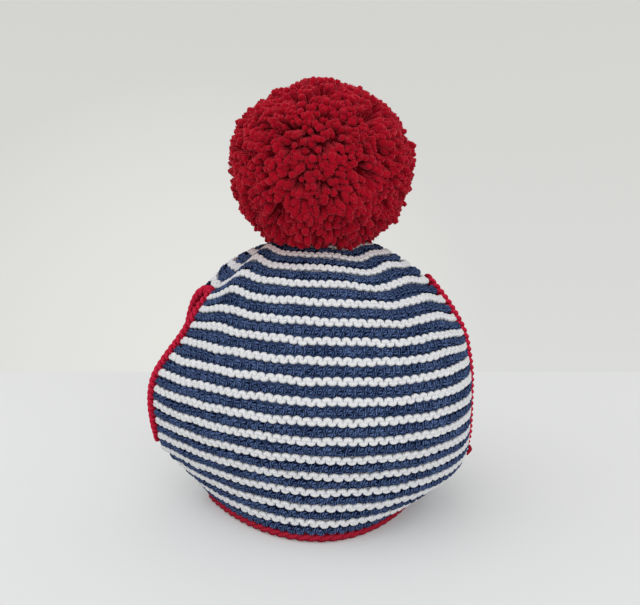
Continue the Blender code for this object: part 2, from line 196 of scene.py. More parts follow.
# A loose end of the edging yarn under the handle slit: out, forward and up from
# the lower end of the edging, radius
YARN_END = (
    (-0.8, 0.0, 1.5, 1.0), (0.6, -1.2, 0.6, 1.0), (2.0, -2.2, -0.2, 1.0),
    (2.4, -2.9, -1.5, 1.05), (1.2, -3.4, -2.7, 1.0), (0.1, -3.9, -4.0, 0.8),
)
YARN_END_STEPS = 16

POM_STRANDS = 4500      # over the whole ball, before the underside is left out
POM_UNDERSIDE = -0.93   # no strands point further down than this
POM_YARN_R = 1.6        # cut end of a strand
POM_THICKNESS = (0.74, 1.26)    # the strands vary between these shares of it
POM_ROOT = 0.52         # strands start here, as a share of the radius
POM_REACH = 0.99        # and end about here
POM_UNEVEN = 0.016      # each by its own amount
POM_TUFTS = 420         # neighbouring ends cling together in tufts
POM_TUFT_SCATTER = 0.05         # off their even spacing
POM_TUFT_UNEVEN = 0.022         # tufts reach out by their own amounts too
POM_PULL = 0.16         # share of the way a strand leans to the middle of its tuft
POM_TUFT_LEAN = 0.055   # how far a whole tuft leans, on a ball of radius 1
POM_LEAN = 0.045        # and one strand
POM_BEND = 0.8          # how far it bows sideways, in millimetres
POM_DROOP = 0.09        # outer ends sag this far downwards
POM_DENTS = 70          # shallow dents in the ball
POM_DENT_SCATTER = 0.12         # off their even spacing
POM_DENT_WIDE = 0.10    # their spread and greatest depth, on a ball of radius 1
POM_DENT_DEEP = 0.085
POM_SIDES = 5
# Along a strand: share of its length, share of its full radius
STRAND = ((0.0, 0.70), (0.60, 0.90), (0.94, 1.04), (1.0, 0.74))
POM_CORE = 0.82         # the dark core's share of the radius
CORE_RINGS = 24
CORE_AROUND = 40
CORE_POLE = 0.04        # angle of its first and last ring from the poles

# Loose fibres standing off the pompom
FIBRES = 4200           # likewise over the whole ball
FIBRE_R = 0.12
FIBRE_LONG = (1.1, 2.2)         # shortest and longest
FIBRE_FOOT = (0.93, 0.99)       # where they start, as shares of the radius
FIBRE_LEAN = 0.54
FIBRE_BEND = 0.3
FIBRE_ASKEW = 0.3       # keeps the direction across a fibre off the fibre's own
# Along a fibre: share of its length, share of its radius
FIBRE = ((0.0, 1.0), (0.5, 0.9), (1.0, 0.4))
FIBRE_SIDES = 3

# ------------------------------------------------------------ colours and wool
# Each yarn's own colour, and the deep one of its hollows, which is painted shade there and which
# the darker dye patches and fibre streaks also run to
COLOURS = {
    "navy": ((0.116, 0.178, 0.362), (0.000, 0.003, 0.022)),
    "white": ((0.750, 0.746, 0.756), (0.30, 0.29, 0.33)),
    "crochet": ((0.640, 0.020, 0.062), (0.210, 0.003, 0.010)),
    # the hem: the crochet yarn made darker, as painted shade low down by the table
    "hem": ((0.450, 0.020, 0.046), (0.140, 0.003, 0.008)),
    "pompom": ((0.362, 0.003, 0.015), (0.170, 0.001, 0.005)),
    # the pompom's core: its yarn darkened, painted shade deep between the cut ends
    "core": ((0.170, 0.001, 0.006), (0.070, 0.000, 0.003)),
    "fuzz": ((0.560, 0.035, 0.075), (0.362, 0.003, 0.015)),
}
# The pompom casts painted shade and painted red bounce light on the cloth close under it: the
# yarn's colour is multiplied by this, wholly at the near distance from a middle and not at all at
# the far one
POM_SHADE_TINT = (0.67, 0.51, 0.49)
UNDER_POM_NEAR = 50.0
UNDER_POM_FAR = 69.0
UNDER_POM_X = -7.0      # that middle is at the pompom's, but this far to the spout side
# Each yarn: ply spacing, plies, painted shade in the ply grooves, streaks, uneven dye and its
# patches per metre, painted shade on the side of the yarn that faces in towards the cloth, relief,
# fuzz
YARN_LOOKS = {
    "navy": (1.00, 3.0, 0.80, 1.05, 1.50, 140.0, 1.15, 0.0009, 0.04),
    "white": (1.25, 3.0, 0.06, 0.12, 0.06, 140.0, 0.75, 0.0004, 0.0),
    "crochet": (1.20, 3.0, 0.42, 0.50, 0.30, 140.0, 0.45, 0.0005, 0.10),
    "hem": (1.20, 3.0, 0.42, 0.50, 0.30, 140.0, 0.45, 0.0005, 0.10),
    "pompom": (1.60, 3.0, 0.15, 0.60, 1.30, 60.0, 0.0, 0.0005, 0.85),
    "core": (1.60, 3.0, 0.30, 0.60, 0.80, 300.0, 0.0, 0.0005, 0.10),
    "fuzz": (1.60, 3.0, 0.0, 0.0, 0.80, 140.0, 0.0, 0.0001, 0.0),
}
ROUGHNESS = 0.92
SPECULAR = 0.02         # wool hardly shines
SHEEN_ROUGHNESS = 0.5
SHEEN_BASE = 0.08       # sheen colour: this, and so many times the yarn's colour
SHEEN_SHARE = 1.6
FIBRES_ACROSS = 6.0     # fine fibres: per ply, and per millimetre along the yarn
FIBRES_ALONG = 0.35
# Detail and roughness of the noises, and the detail of the soft ones
FIBRES_NOISE = (3.0, 0.6)
DYE_NOISE = (4.0, 0.75)
SOFT_DETAIL = 2.0
STREAK_MIDDLE = 0.65    # noise at which a streak, and the dye, change nothing
DYE_MIDDLE = 0.45
# Painted shade on the side of the yarn that faces in, towards the cloth:
CREVICE_SHADE_FROM = 0.35     # darkening starts where the yarn's side faces this far out
FIBRE_HEIGHT = 1.1      # height of the fibres, as a share of a ply's
BUMP = 0.6              # strength of every relief
GROUND_GRAIN = 900.0    # ground of the cloth: grains per metre, and its relief
GROUND_RELIEF = 0.0006
COLUMN_HEIGHT = 0.5     # shares of that relief: stitch columns, grain
GRAIN_HEIGHT = 0.6

# ----------------------------------------------------------------- picture set-up
CAMERA_AT = (CENTRE_SHIFT, -340.0, 150.0)
CAMERA_PITCH = -7.0     # degrees, below level
LENS = 36.0
SENSOR = 36.0           # width
CLIP = (0.01, 20.0)     # nearest and farthest that is drawn, in metres
TABLE_HALF = 2500.0     # half width of the table top
TABLE_BACK = 300.0      # its far edge
TABLE_ROUGHNESS = 0.60
TABLE_SPECULAR = 0.25
TABLE_CLOUDS = 3.0      # soft patches per metre, between these two colours
TABLE_DARK = (0.636, 0.640, 0.638)
TABLE_LIGHT = (0.650, 0.654, 0.651)
TABLE_GLOW = (0.90, 0.91, 0.91)
TABLE_GLOW_POWER = 0.15         # softens the shadows
# The world's colours, by the direction looked in.  Each pair is where a change starts
# and ends.  The far wall, low down and high up, and a brighter patch on it
WALL_LOW = (0.715, 0.724, 0.706)
WALL_HIGH = (0.655, 0.655, 0.632)
WALL_RISE = (-0.25, 0.32)
PATCH = (0.785, 0.785, 0.752)
PATCH_TOWARDS = (-0.16, 0.965, -0.20)
PATCH_NEAR = (0.91, 1.0)
# The rest of the room, and its ceiling
ROOM = (0.735, 0.742, 0.740)
CEILING = (0.84, 0.84, 0.83)
CEILING_RISE = (0.40, 0.85)
ROOM_FROM = (0.80, 0.20)        # from the wall, straight ahead being 1, to the room
# Lamps: name, place in metres, what they point at, size, watts
LAMPS = (
    ("key", (0.71, -2.13, 0.66), (0.0, 0.0, 0.08), 2.04, 20.7),
    ("fill", (-0.50, -0.52, 0.98), (0.0, 0.0, 0.10), 1.4, 4.0),
)
LAMP_COLOUR = (0.94, 0.97, 1.0)


# ------------------------------------------------------------------- body shape
def smooth_column(table, column):
    """Monotone cubic through one column of a table keyed by its first column."""
    xs = np.array([row[0] for row in table])
    ys = np.array([row[column] for row in table])
    step = np.diff(xs)
    rise = np.diff(ys) / step
    slope = np.zeros(len(xs))
    slope[0] = rise[0]
    slope[-1] = rise[-1]
    for i in range(1, len(xs) - 1):
        if rise[i - 1] * rise[i] > 0.0:
            w1 = 2.0 * step[i] + step[i - 1]
            w2 = step[i] + 2.0 * step[i - 1]
            slope[i] = (w1 + w2) / (w1 / rise[i - 1] + w2 / rise[i])

    def value(x):
        x = np.clip(np.asarray(x, float), xs[0], xs[-1])
        k = np.clip(np.searchsorted(xs, x) - 1, 0, len(xs) - 2)
        h = step[k]
        t = (x - xs[k]) / h
        a = (1.0 + 2.0 * t) * (1.0 - t) ** 2 * ys[k]
        b = t * (1.0 - t) ** 2 * h * slope[k]
        c = t * t * (3.0 - 2.0 * t) * ys[k + 1]
        d = t * t * (t - 1.0) * h * slope[k + 1]
        return a + b + c + d

    return value


HEIGHT, DEPTH, APEX, REACH_S, REACH_H, POINT_S, POINT_H = [
    smooth_column(SECTIONS, column) for column in range(1, 8)
]
TOP = SECTIONS[-1][0]


def fold_lift(across, up):
    """How far the folds lift the cloth; they die away under the pompom."""
    lift = 0.0 * across * up
    for middle, spread, at, run, amount in FOLDS:
        lift = lift + amount * np.exp(-((across - middle) / spread) ** 2 - ((up - at) / run) ** 2)
    fade = np.clip((FOLDS_END - up) / FOLDS_FADE, 0.0, 1.0)
    return lift * fade * fade * (3.0 - 2.0 * fade)


def patch(across, up, place):
    """A soft change that is full at one place and dies away up and across the cloth."""
    middle, run, at, spread, amount = place
    share = np.clip(1.0 - np.abs(up - middle) / run, 0.0, 1.0)
    beside = np.exp(-((across - at) / spread) ** 2)
    return amount * share * share * (3.0 - 2.0 * share) * beside


def body_point(across, up, back=False):
    """A point on the outer face of the closed body.

    across runs from -1 at the spout side to +1 at the handle side.
    """
    across = np.asarray(across, float)
    up = np.asarray(up, float)
    apex = APEX(up)
    reach = np.where(across < 0, REACH_S(up) + apex, REACH_H(up) - apex)
    point = np.where(across < 0, POINT_S(up), POINT_H(up))
    turn = np.minimum(np.abs(across), 1.0) * math.pi / 2
    x = apex + np.sign(across) * reach * np.sin(turn)
    y = -DEPTH(up) * np.maximum(np.cos(turn), 0.0) ** point
    z = HEIGHT(up) + fold_lift(across, up)
    x = x + patch(across, up, SEAM_SINK)
    if back:
        x = x - patch(across, up, BACK_FLARE)
        x = x - patch(across, up, BACK_BULGE) * (1.0 - np.abs(across) ** SEAM_HOLD)
        z = z + patch(across, up, BACK_LIFT)
        y = -y
    x = x + CENTRE_SHIFT
    return np.stack([x, y, z], axis=-1)


def body_normal(across, up, back=False):
    """Outward unit normal of the closed body, flat enough at the seams to be steady."""
    lower = np.clip(across - NORMAL_ACROSS, -NORMAL_LIMIT, NORMAL_LIMIT - NORMAL_ACROSS)
    upper = np.clip(across + NORMAL_ACROSS, -NORMAL_LIMIT + NORMAL_ACROSS, NORMAL_LIMIT)
    side = body_point(upper, up, back) - body_point(lower, up, back)
    below = np.clip(up - NORMAL_UP, 0.0, TOP)
    above = np.clip(up + NORMAL_UP, 0.0, TOP)
    rise = body_point(across, above, back) - body_point(across, below, back)
    normal = np.cross(side, rise) * (-1.0 if back else 1.0)
    return normal / np.linalg.norm(normal, axis=-1, keepdims=True)


def across_at(half_open, up, side):
    """How far round a panel reaches when its edge is half_open from the seam line."""
    point = POINT_S(up) if side < 0 else POINT_H(up)
    share = np.clip(half_open / DEPTH(up), 0.0, 1.0)
    return side * np.arccos(share ** (1.0 / point)) * 2.0 / math.pi


def offset_lens(slit, amount):
    """One side of a slit, from its lower to its upper end, moved out by amount."""
    _, low, high, half_wide = SLITS[slit]
    middle = (low + high) / 2.0
    half_long = (high - low) / 2.0 - EDGE_ROUND - EDGE_CLEAR
    run = np.sin(np.linspace(-math.pi / 2, math.pi / 2, SLIT_STEPS))
    wide = half_wide * (1.0 - run ** 2) ** SLIT_FULL
    up = middle + half_long * run
    d_up = np.gradient(up)
    d_wide = np.gradient(wide)
    size = np.hypot(d_up, d_wide)
    normal_up = -d_wide / size
    normal_wide = d_up / size
    first = math.atan2(normal_wide[0], normal_up[0])
    last = math.atan2(normal_wide[-1], normal_up[-1])
    lower = np.linspace(math.pi, first, SLIT_END_STEPS)[:-1]
    upper = np.linspace(last, 0.0, SLIT_END_STEPS)[1:]
    ups = np.concatenate([
        up[0] + amount * np.cos(lower), up + amount * normal_up,
        up[-1] + amount * np.cos(upper)])
    wides = np.concatenate([
        wide[0] + amount * np.sin(lower), wide + amount * normal_wide,
        wide[-1] + amount * np.sin(upper)])
    return ups, wides


def cloth_edge(slit, up):
    """Distance of the cloth's edge from the seam line at a height up the cloth."""
    ups, wides = offset_lens(slit, EDGE_ROUND + CLOTH_TUCK)
    order = np.argsort(ups)
    wide = np.interp(up, ups[order], wides[order])
    inside = (up > ups[0]) & (up < ups[-1])
    return np.where(inside, np.maximum(wide, SEAM_OPEN), SEAM_OPEN)


def edge_across(up):
    """The across values of the cloth's two edges, spout side and handle side."""
    spout = across_at(cloth_edge("spout", up), up, -1)
    handle = across_at(cloth_edge("handle", up), up, 1)
    return spout, handle


def crown_height(x, y):
    """Height of the crown's outer face at these places from its middle."""
    depths = [row[2] for row in SECTIONS[CROWN_FROM:]][::-1]
    ups = [row[0] for row in SECTIONS[CROWN_FROM:]][::-1]
    up = np.interp(np.hypot(x, y), depths, ups)
    across = np.arctan2(x, np.abs(y)) * 2.0 / math.pi
    return HEIGHT(up) + fold_lift(across, up)


# ------------------------------------------------------------------- mesh makers
def make_object(name, points, quads, ends=(), uv=None, uv_name="yarn", smooth=True):
    """A mesh object from numpy arrays of quads, and of end faces with one vertex count."""
    mesh = bpy.data.meshes.new(name)
    sizes = [np.full(len(quads), 4, np.int32)]
    loops = [np.asarray(quads, np.int32).reshape(-1)]
    if len(ends):
        sizes.append(np.full(len(ends), ends.shape[1], np.int32))
        loops.append(np.asarray(ends, np.int32).reshape(-1))
    sizes = np.concatenate(sizes)
    loops = np.concatenate(loops)
    mesh.vertices.add(len(points))
    mesh.vertices.foreach_set("co", (np.asarray(points) * MM).astype(np.float32).reshape(-1))
    mesh.loops.add(len(loops))
    mesh.loops.foreach_set("vertex_index", loops)
    mesh.polygons.add(len(sizes))
    starts = np.concatenate([[0], np.cumsum(sizes)[:-1]]).astype(np.int32)
    mesh.polygons.foreach_set("loop_start", starts)
    mesh.polygons.foreach_set("use_smooth", np.full(len(sizes), smooth))
    mesh.update(calc_edges=True)
    if uv is not None:
        layer = mesh.uv_layers.new(name=uv_name)
        layer.data.foreach_set("uv", uv.astype(np.float32).reshape(-1))
    mesh.validate()
    obj = bpy.data.objects.new(name, mesh)
    bpy.context.scene.collection.objects.link(obj)
    return obj


def unit(v):
    return v / np.maximum(np.linalg.norm(v, axis=-1, keepdims=True), 1e-9)


def yarn_tubes(name, paths, radius, facing, sides, closed=False):
    """Many lengths of yarn of the same point count, as closed tubes in one object.

    paths is lengths x points x 3, radius is lengths x points, and facing gives a
    direction across the yarn at each point.
    """
    if closed:
        ahead = unit(np.roll(paths, -1, axis=1) - np.roll(paths, 1, axis=1))
    else:
        ahead = unit(np.gradient(paths, axis=1))
    side = unit(np.cross(ahead, facing))
    rise = np.cross(side, ahead)
    turn = 2.0 * math.pi * np.arange(sides) / sides
    ring = (side[:, :, None] * np.cos(turn)[:, None] + rise[:, :, None] * np.sin(turn)[:, None])
    points = paths[:, :, None] + radius[:, :, None, None] * ring
    lengths, stops = paths.shape[:2]
    index = np.arange(lengths * stops * sides).reshape(lengths, stops, sides)
    ahead_index = np.roll(index, -1, axis=1) if closed else index[:, 1:]
    first = index if closed else index[:, :-1]
    across = np.roll(first, -1, axis=2)
    across_ahead = np.roll(ahead_index, -1, axis=2)
    quads = np.stack([first, ahead_index, across_ahead, across], axis=-1).reshape(-1, 4)
    run = np.linalg.norm(np.diff(paths, axis=1), axis=2)
    along = np.concatenate([np.zeros((lengths, 1)), np.cumsum(run, axis=1)], axis=1)
    along = along + YARN_OFFSET * np.arange(lengths)[:, None]
    if closed:
        along = np.concatenate([along, along[:, -1:] + run[:, :1]], axis=1)
    a0 = np.broadcast_to(along[:, :-1, None], first.shape)
    a1 = np.broadcast_to(along[:, 1:, None], first.shape)
    r0 = np.broadcast_to(np.arange(sides) / sides, first.shape)
    r1 = r0 + 1.0 / sides
    uv = np.stack([
        np.stack([a0, r0], -1), np.stack([a1, r0], -1),
        np.stack([a1, r1], -1), np.stack([a0, r1], -1)], axis=3).reshape(-1, 2)
    ends = ()
    if not closed:
        ends = np.concatenate([index[:, 0], index[:, -1, ::-1]])
        uv = np.concatenate([uv, np.zeros((ends.size, 2))])
    return make_object(name, points.reshape(-1, 3), quads, ends, uv)


def even_loop(points, count):
    """Resample a closed line to evenly spaced points."""
    closed = np.vstack([points, points[:1]])
    run = np.concatenate([[0.0], np.cumsum(np.linalg.norm(np.diff(closed, axis=0), axis=1))])
    at = np.linspace(0.0, run[-1], count, endpoint=False)
    return np.stack([np.interp(at, run, closed[:, k]) for k in range(3)], axis=1)


def soften(points, passes):
    """Round a closed line by averaging each point with its neighbours."""
    for _ in range(passes):
        points = (np.roll(points, 1, axis=0) + 2.0 * points + np.roll(points, -1, axis=0)) / 4.0
    return points


def loop_length(points):
    return float(np.linalg.norm(np.roll(points, -1, axis=0) - points, axis=1).sum())


# ---------------------------------------------------------------------- materials
def node(tree, kind, **values):
    """A shader node; values are its settings, or its inputs where the name is an input."""
    made = tree.nodes.new(kind)
    for key, value in values.items():
        if key in made.inputs:
            made.inputs[key].default_value = value
        else:
            setattr(made, key, value)
    return made


def maths(tree, operation, first, second=None):
    """A math node on two sockets or numbers; returns its output."""
    made = node(tree, "ShaderNodeMath", operation=operation)
    for slot, value in enumerate((first, second)):
        if value is None:
            continue
        if isinstance(value, (int, float)):
            made.inputs[slot].default_value = value
        else:
            tree.links.new(value, made.inputs[slot])
    return made.outputs[0]


def blend_colour(tree, share, first, second, kind="MIX"):
    """Two colours, given as sockets or as RGB values, blended by a socket."""
    made = node(tree, "ShaderNodeMix", data_type="RGBA", blend_type=kind)
    tree.links.new(share, made.inputs[0])
    for slot, value in ((6, first), (7, second)):
        if isinstance(value, tuple):
            made.inputs[slot].default_value = (*value, 1.0)
        else:
            tree.links.new(value, made.inputs[slot])
    return made.outputs[2]


def ramp(tree, value, low, high):
    """A socket that is 0 where another is at low and rises evenly to 1 at high."""
    made = node(tree, "ShaderNodeMapRange", **{"From Min": low, "From Max": high})
    tree.links.new(value, made.inputs[0])
    return made.outputs[0]


def noise(tree, vector, scale, detail=SOFT_DETAIL, roughness=0.5):
    """Noise over a vector, given as a socket; returns its output."""
    made = node(tree, "ShaderNodeTexNoise", Scale=scale, Detail=detail, Roughness=roughness)
    tree.links.new(vector, made.inputs["Vector"])
    return made.outputs[0]


def uv_axes(tree, name):
    """The two coordinates of a UV map, as sockets."""
    uv = node(tree, "ShaderNodeUVMap", uv_map=name)
    split = node(tree, "ShaderNodeSeparateXYZ")
    tree.links.new(uv.outputs[0], split.inputs[0])
    return split.outputs[0], split.outputs[1]


def emboss(tree, shader, height, relief):
    """Give a material the relief of a height socket."""
    bump = node(tree, "ShaderNodeBump", Strength=BUMP, Distance=relief)
    tree.links.new(height, bump.inputs["Height"])
    tree.links.new(bump.outputs[0], shader.inputs["Normal"])


def new_material(name, roughness, specular):
    mat = bpy.data.materials.new(name)
    mat.use_nodes = True
    shader = mat.node_tree.nodes["Principled BSDF"]
    shader.inputs["Roughness"].default_value = roughness
    shader.inputs["Specular IOR Level"].default_value = specular
    return mat, mat.node_tree, shader


def paint_pompom_shade(tree, coords, colour):
    """A colour socket, dimmed and reddened under the pompom by painted shade and painted red
    bounce light.
    """
    away = node(tree, "ShaderNodeVectorMath", operation="DISTANCE")
    tree.links.new(coords.outputs["Object"], away.inputs[0])
    away.inputs[1].default_value = [c * MM for c in (CENTRE_SHIFT + UNDER_POM_X, POM_Y, POM_Z)]
    near = ramp(tree, away.outputs["Value"], UNDER_POM_FAR * MM, UNDER_POM_NEAR * MM)
    return blend_colour(tree, near, colour, POM_SHADE_TINT, "MULTIPLY")


def yarn_material(name):
    """Plied wool: slanting plies, fine fibres along them, uneven dye, and painted shade in the ply
    grooves and on the yarn's inward side.
    """
    colour, deep = COLOURS[name]
    ply, plies, ply_shade, streak_dark, patchy, patches, crevice_shade, relief, fuzz = YARN_LOOKS[name]
    mat, tree, shader = new_material(name + "_yarn", ROUGHNESS, SPECULAR)
    sheen = [min(1.0, SHEEN_BASE + SHEEN_SHARE * c) for c in colour]
    shader.inputs["Sheen Weight"].default_value = fuzz
    shader.inputs["Sheen Roughness"].default_value = SHEEN_ROUGHNESS
    shader.inputs["Sheen Tint"].default_value = (*sheen, 1.0)
    along, around = uv_axes(tree, "yarn")
    twist = maths(tree, "SUBTRACT", maths(tree, "DIVIDE", along, ply),
                  maths(tree, "MULTIPLY", around, plies))
    wave = maths(tree, "SINE", maths(tree, "MULTIPLY", twist, 2.0 * math.pi))
    wave = maths(tree, "ADD", maths(tree, "MULTIPLY", wave, 0.5), 0.5)
    place = node(tree, "ShaderNodeCombineXYZ")
    tree.links.new(maths(tree, "MULTIPLY", twist, FIBRES_ACROSS), place.inputs[0])
    tree.links.new(maths(tree, "MULTIPLY", along, FIBRES_ALONG), place.inputs[1])
    fibres = noise(tree, place.outputs[0], 1.0, *FIBRES_NOISE)
    coords = node(tree, "ShaderNodeTexCoord")
    dye = noise(tree, coords.outputs["Object"], patches, *DYE_NOISE)
    # painted shade: the ply grooves run towards the deep colour
    groove_shade = maths(tree, "MULTIPLY", maths(tree, "SUBTRACT", 1.0, wave), ply_shade)
    streak = maths(tree, "SUBTRACT", STREAK_MIDDLE, fibres)
    streak = maths(tree, "MULTIPLY", streak, streak_dark)
    uneven = maths(tree, "MULTIPLY", maths(tree, "SUBTRACT", dye, DYE_MIDDLE), patchy)
    # painted shade on the side of the yarn that faces in, towards the cloth
    outward = maths(tree, "SINE", maths(tree, "MULTIPLY", around, 2.0 * math.pi))
    side = maths(tree, "MAXIMUM", maths(tree, "SUBTRACT", CREVICE_SHADE_FROM, outward), 0.0)
    shade = maths(tree, "MULTIPLY", maths(tree, "MINIMUM", side, 1.0), crevice_shade)
    share = maths(tree, "ADD", maths(tree, "ADD", groove_shade, streak),
                  maths(tree, "ADD", uneven, shade))
    limited = node(tree, "ShaderNodeClamp")
    tree.links.new(share, limited.inputs[0])
    mixed = blend_colour(tree, limited.outputs[0], colour, deep)
    # painted shade and painted red bounce light from the pompom on the knitting
    if name in ("navy", "white"):
        mixed = paint_pompom_shade(tree, coords, mixed)
    tree.links.new(mixed, shader.inputs["Base Color"])
    height = maths(tree, "ADD", wave, maths(tree, "MULTIPLY", fibres, FIBRE_HEIGHT))
    emboss(tree, shader, height, relief)
    return mat


def cloth_material(name, white_from, white_to, wander):
    """Striped ground of the cloth: white where the ridge count says, navy elsewhere, each run by
    grain noise towards its deep colour as painted shade between the loops.
    """
    mat, tree, shader = new_material(name, ROUGHNESS, SPECULAR)
    column, ridge = uv_axes(tree, "cloth")
    sway = maths(tree, "SINE", maths(tree, "MULTIPLY", column, 2.0 * math.pi))
    pair = maths(tree, "ADD", ridge, maths(tree, "MULTIPLY", sway, wander))
    pair = maths(tree, "FLOORED_MODULO", pair, 2.0)
    above = maths(tree, "GREATER_THAN", pair, white_from)
    below = maths(tree, "LESS_THAN", pair, white_to)
    white = maths(tree, "MULTIPLY", above, below)
    coords = node(tree, "ShaderNodeTexCoord")
    grain_and_shade = noise(tree, coords.outputs["Object"], GROUND_GRAIN)
    # real grain, and painted shade: the ground runs from the yarn's deep colour to its own colour
    navy = blend_colour(tree, grain_and_shade, *COLOURS["navy"][::-1])
    pale = blend_colour(tree, grain_and_shade, *COLOURS["white"][::-1])
    tree.links.new(blend_colour(tree, white, navy, pale), shader.inputs["Base Color"])
    height = maths(tree, "ADD", maths(tree, "MULTIPLY", sway, COLUMN_HEIGHT),
                   maths(tree, "MULTIPLY", grain_and_shade, GRAIN_HEIGHT))
    emboss(tree, shader, height, GROUND_RELIEF)
    return mat


# -------------------------------------------------------------------- knitting
def stitch_pitch(up):
    return np.interp(up, [row[0] for row in STITCH_PITCH], [row[1] for row in STITCH_PITCH])


def ridge_columns(up, back):
    """One ridge's line and the places of its loops.

    Returns the line's across values and its arc lengths, and the places and widths of
    the upper and of the lower loops, which are counted from the middle out.
    """
    spout, handle = edge_across(np.array([up]))
    line = np.concatenate([np.linspace(spout[0], 0.0, ROW_STEPS),
                           np.linspace(0.0, handle[0], ROW_STEPS)[1:]])
    points = body_point(line, np.full_like(line, up), back)
    run = np.concatenate([[0.0], np.cumsum(np.linalg.norm(np.diff(points, axis=0), axis=1))])
    middle = run[ROW_STEPS - 1]
    pitch = stitch_pitch(up)
    places = {"upper": [], "lower": []}
    for length, way in ((middle, -1.0), (run[-1] - middle, 1.0)):
        count = max(1, round(length / pitch))
        width = length / count
        for j in range(count):
            places["upper"].append((middle + way * (j + 0.5) * width, width))
            at = middle + way * (j + 1.0) * width
            if j == count - 1:
                at -= way * END_LOOP_IN * width
            places["lower"].append((at, width))
    places["lower"].append((middle, pitch))
    return line, run, places


def row_sway(rng):
    """How one row wanders up and down along its length, as a function of the length."""
    starts = rng.uniform(0.0, 2.0 * math.pi, len(ROW_SWAY))

    def sway(at):
        return sum(amount * np.sin(2.0 * math.pi * at / length + start)
                   for (amount, length), start in zip(ROW_SWAY, starts))

    return sway


def knit_loops(name, colour, back, rng):
    """All the loops of one colour on one panel."""
    radius, tall, deep, uneven = YARN[colour]
    half = np.array(LOOP)
    loop = np.vstack([half[::-1] * (-1.0, 1.0, 1.0), half]) * (1.0, 1.0, deep)
    taper = np.ones(len(loop))
    taper[[0, -1]] = LOOP_TAPER
    paths = []
    normals = []
    radii = []
    first = 0 if colour == "navy" else 1
    for i in range(first, RIDGES, 2):
        up = (i + 0.5) * RIDGE
        line, run, places = ridge_columns(up, back)
        sway = row_sway(rng)
        for row, flip in (("upper", 1.0), ("lower", -1.0)):
            at = np.array(places[row])
            count = len(at)
            scale = at[:, 1] / LOOP_PITCH * (1.0 + rng.normal(0.0, WIDTH_VARIES, count))
            rise = tall * (1.0 + rng.normal(0.0, HEIGHT_VARIES, count))
            centre = at[:, 0] + rng.normal(0.0, uneven, count)
            shift = rng.normal(0.0, OUT_OF_LINE * uneven, count)
            v = flip * loop[None, :, 1] * rise[:, None] + (shift + sway(centre))[:, None]
            s = centre[:, None] + loop[None, :, 0] * scale[:, None] + LOOP_SLANT * v
            across = np.interp(s, run, line)
            ups = np.clip(up + v, 0.0, TOP)
            normal = body_normal(across, ups, back)
            out = LOOP_OUT + loop[None, :, 2] + rng.normal(0.0, OUT_OF_LINE * uneven, (count, 1))
            paths.append(body_point(across, ups, back) + out[..., None] * normal)
            normals.append(normal)
            thick = radius * np.minimum(1.0, NARROW_KEEPS + (1.0 - NARROW_KEEPS) * scale)
            thick = thick * (1.0 + rng.normal(0.0, THICKNESS_VARIES, count))
            radii.append(thick[:, None] * taper)
    return yarn_tubes(name, np.concatenate(paths), np.concatenate(radii),
                      np.concatenate(normals), YARN_SIDES)


def cloth_panel(name, back):
    """The thin cloth of one panel, under the loops: outer face, inner face and edges."""
    rows = RIDGES * CLOTH_ROWS
    ups = np.linspace(0.0, TOP, rows + 1)
    share = np.linspace(0.0, 1.0, CLOTH_COLUMNS + 1)
    spout, handle = edge_across(ups)
    across = spout[:, None] + (handle - spout)[:, None] * share
    up_grid = np.broadcast_to(ups[:, None], across.shape)
    face = body_point(across, up_grid, back)
    normal = body_normal(across, up_grid, back)
    ridge = up_grid / RIDGE
    relief = INSIDE_RELIEF * np.cos(2.0 * math.pi * ridge)
    outer = face + CLOTH_FACE * normal
    inner = face + (CLOTH_FACE - CLOTH_THICK - relief)[..., None] * normal
    for edge, slit in ((0, "spout"), (-1, "handle")):
        lap = np.where(cloth_edge(slit, ups) > SEAM_OPEN, 0.0, -SEAM_LAP if back else SEAM_LAP)
        outer[:, edge, 1] += lap
        inner[:, edge, 1] += lap
    steps = np.linalg.norm(np.diff(face, axis=1), axis=2)
    run = np.concatenate([np.zeros((rows + 1, 1)), np.cumsum(steps, axis=1)], axis=1)
    column = run / stitch_pitch(ups)[:, None]
    index = np.arange(outer[..., 0].size).reshape(outer.shape[:2])
    low_left, low_right = index[:-1, :-1], index[:-1, 1:]
    high_left, high_right = index[1:, :-1], index[1:, 1:]
    front_faces = np.stack([low_left, low_right, high_right, high_left], -1).reshape(-1, 4)
    back_faces = front_faces[:, ::-1] + index.size
    around = np.concatenate([index[0, :], index[1:, -1], index[-1, -2::-1], index[-2:0:-1, 0]])
    after = np.roll(around, -1)
    rim = np.stack([after, around, around + index.size, after + index.size], -1)
    quads = np.concatenate([front_faces, back_faces, rim])
    if back:
        quads = quads[:, ::-1]
    flat_uv = np.stack([column, ridge], -1).reshape(-1, 2)
    uv = flat_uv[quads.reshape(-1) % index.size]
    obj = make_object(name, np.concatenate([outer.reshape(-1, 3), inner.reshape(-1, 3)]),
                      quads, (), uv, "cloth")
    obj.data.materials.append(cloth_material(name + "_ground", *OUTER_WHITE))
    obj.data.materials.append(cloth_material(name + "_inside", *INNER_WHITE))
    slots = np.zeros(len(quads), np.int32)
    slots[len(front_faces):len(front_faces) + len(back_faces)] = 1
    obj.data.polygons.foreach_set("material_index", slots)
    return obj


